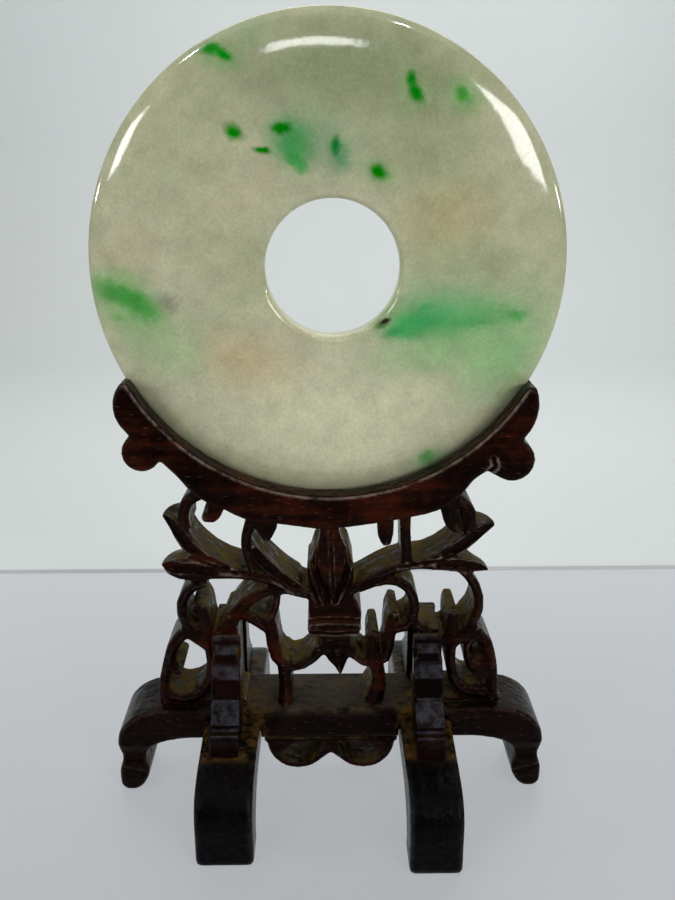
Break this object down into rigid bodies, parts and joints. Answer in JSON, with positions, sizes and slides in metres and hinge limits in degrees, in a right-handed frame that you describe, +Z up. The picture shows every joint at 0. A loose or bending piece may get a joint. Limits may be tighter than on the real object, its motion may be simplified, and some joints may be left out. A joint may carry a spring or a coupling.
{
  "type": "jade bi disc on carved stand",
  "caption": "Flat pierced jade disc standing upright in the grooved crescent of an openwork carved hardwood stand with crossed feet, for display.",
  "frame": {"origin": "on the ground under the middle of the stand", "axes": "+X to the right across the disc, +Y from the front of the object to its back, +Z up"},
  "size_m": [0.1568, 0.1084, 0.2653],
  "materials": {
    "jade": "pale celadon jadeite with green flecks, turned, pierced and polished to a gloss",
    "carved_wood": "dark red-brown hardwood, carved by hand, waxed to a satin gloss, worn on its edges",
    "dark_wood": "the same hardwood, stained nearly black and waxed"
  },
  "bodies": {
    "root": {"jade_disc": "jade", "cradle_panel": "carved_wood", "long_foot": "carved_wood", "apron": "carved_wood", "cross_foot_left": "dark_wood", "cross_foot_right": "dark_wood", "bracket_front_left": "dark_wood", "bracket_front_right": "dark_wood", "bracket_back_left": "dark_wood", "bracket_back_right": "dark_wood"}
  },
  "joints": []
}
